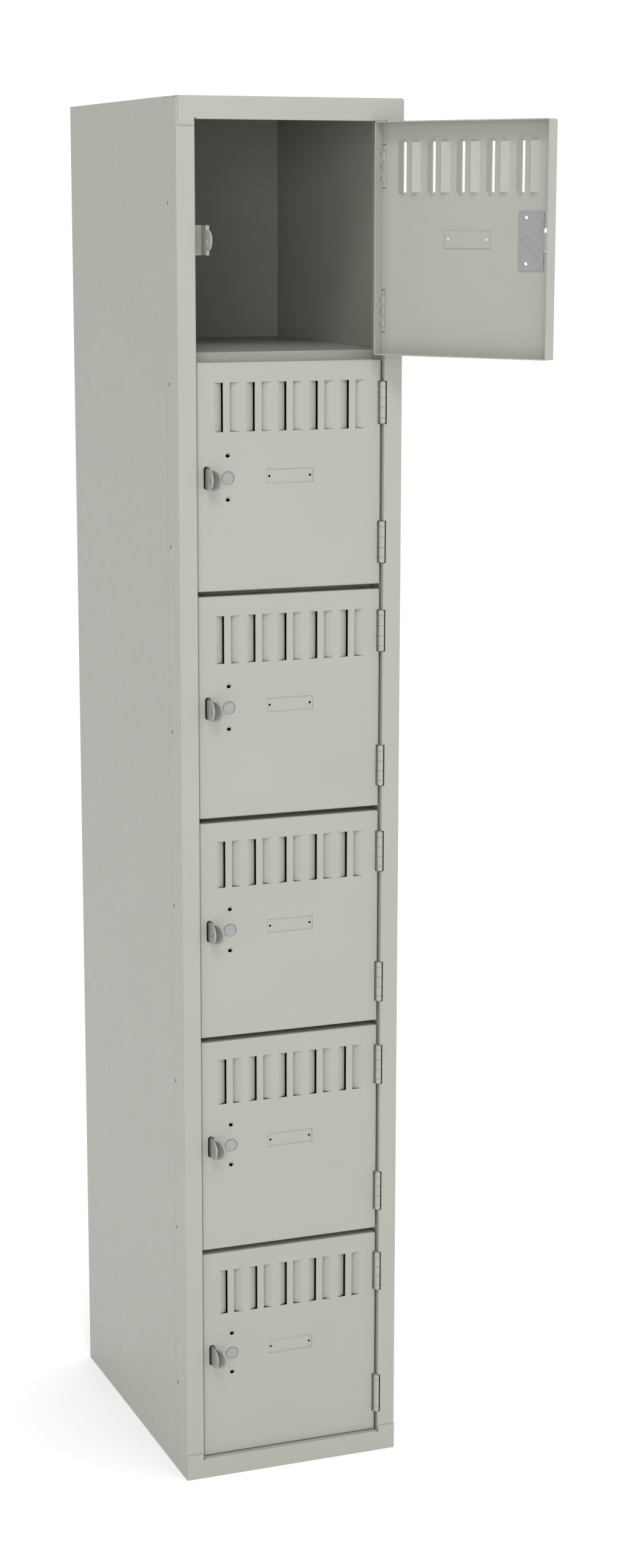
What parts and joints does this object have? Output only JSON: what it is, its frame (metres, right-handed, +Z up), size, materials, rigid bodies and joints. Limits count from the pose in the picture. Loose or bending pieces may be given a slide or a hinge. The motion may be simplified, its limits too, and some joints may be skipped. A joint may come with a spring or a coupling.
{
  "type": "locker cabinet",
  "caption": "Tall narrow sheet-steel locker with stacked compartments, vented hinged doors, padlock lugs and zinc pulls.",
  "frame": {"origin": "on the floor, at the middle of the back panel's rear face", "axes": "+Z up, the doors face -Y, +X to the right as one faces the doors (the hinge side)"},
  "size_m": [0.4246, 0.675, 1.8288],
  "materials": {
    "paint_body": "satin powder coat",
    "paint_frame": "satin powder coat",
    "paint_door": "satin powder coat",
    "paint_hinge": "satin powder coat",
    "zinc": "dull zinc plate"
  },
  "bodies": {
    "cabinet": {"left_side": "paint_body", "right_side": "paint_body", "back_panel": "paint_body", "top_panel": "paint_body", "bottom_panel": "paint_body", "left_upright": "paint_frame", "right_upright": "paint_frame", "top_rail": "paint_frame", "bottom_rail": "paint_frame", "shelf_1": "paint_body", "shelf_2": "paint_body", "shelf_3": "paint_body", "shelf_4": "paint_body", "shelf_5": "paint_body", "padlock_lug_1": "paint_frame", "padlock_lug_2": "paint_frame", "padlock_lug_3": "paint_frame", "padlock_lug_4": "paint_frame", "padlock_lug_5": "paint_frame", "padlock_lug_6": "paint_frame", "hinge_frame_leaves_1": "paint_hinge", "hinge_frame_leaves_2": "paint_hinge", "hinge_frame_leaves_3": "paint_hinge", "hinge_frame_leaves_4": "paint_hinge", "hinge_frame_leaves_5": "paint_hinge", "hinge_frame_leaves_6": "paint_hinge", "hinge_pins_1": "paint_hinge", "hinge_pins_2": "paint_hinge", "hinge_pins_3": "paint_hinge", "hinge_pins_4": "paint_hinge", "hinge_pins_5": "paint_hinge", "hinge_pins_6": "paint_hinge"},
    "door_1": {"door_panel_1": "paint_door", "latch_plate_1": "zinc", "hinge_door_leaves_1": "paint_hinge", "hinge_rivets_1": "paint_hinge"},
    "door_2": {"door_panel_2": "paint_door", "latch_plate_2": "zinc", "hinge_door_leaves_2": "paint_hinge", "hinge_rivets_2": "paint_hinge"},
    "door_3": {"door_panel_3": "paint_door", "latch_plate_3": "zinc", "hinge_door_leaves_3": "paint_hinge", "hinge_rivets_3": "paint_hinge"},
    "door_4": {"door_panel_4": "paint_door", "latch_plate_4": "zinc", "hinge_door_leaves_4": "paint_hinge", "hinge_rivets_4": "paint_hinge"},
    "door_5": {"door_panel_5": "paint_door", "latch_plate_5": "zinc", "hinge_door_leaves_5": "paint_hinge", "hinge_rivets_5": "paint_hinge"},
    "door_6": {"door_panel_6": "paint_door", "latch_plate_6": "zinc", "hinge_door_leaves_6": "paint_hinge", "hinge_rivets_6": "paint_hinge"}
  },
  "joints": [
    {"name": "door_1_hinge", "type": "hinge", "parent": "cabinet", "child": "door_1", "pos_m": [0.1266, -0.4534, 1.65523], "axis": [0, 0, 1], "range_deg": [-124.8, 30.2]},
    {"name": "door_2_hinge", "type": "hinge", "parent": "cabinet", "child": "door_2", "pos_m": [0.1266, -0.4534, 1.3589], "axis": [0, 0, 1], "range_deg": [0, 155]},
    {"name": "door_3_hinge", "type": "hinge", "parent": "cabinet", "child": "door_3", "pos_m": [0.1266, -0.4534, 1.06257], "axis": [0, 0, 1], "range_deg": [0, 155]},
    {"name": "door_4_hinge", "type": "hinge", "parent": "cabinet", "child": "door_4", "pos_m": [0.1266, -0.4534, 0.76623], "axis": [0, 0, 1], "range_deg": [0, 155]},
    {"name": "door_5_hinge", "type": "hinge", "parent": "cabinet", "child": "door_5", "pos_m": [0.1266, -0.4534, 0.4699], "axis": [0, 0, 1], "range_deg": [0, 155]},
    {"name": "door_6_hinge", "type": "hinge", "parent": "cabinet", "child": "door_6", "pos_m": [0.1266, -0.4534, 0.17357], "axis": [0, 0, 1], "range_deg": [0, 155]}
  ]
}
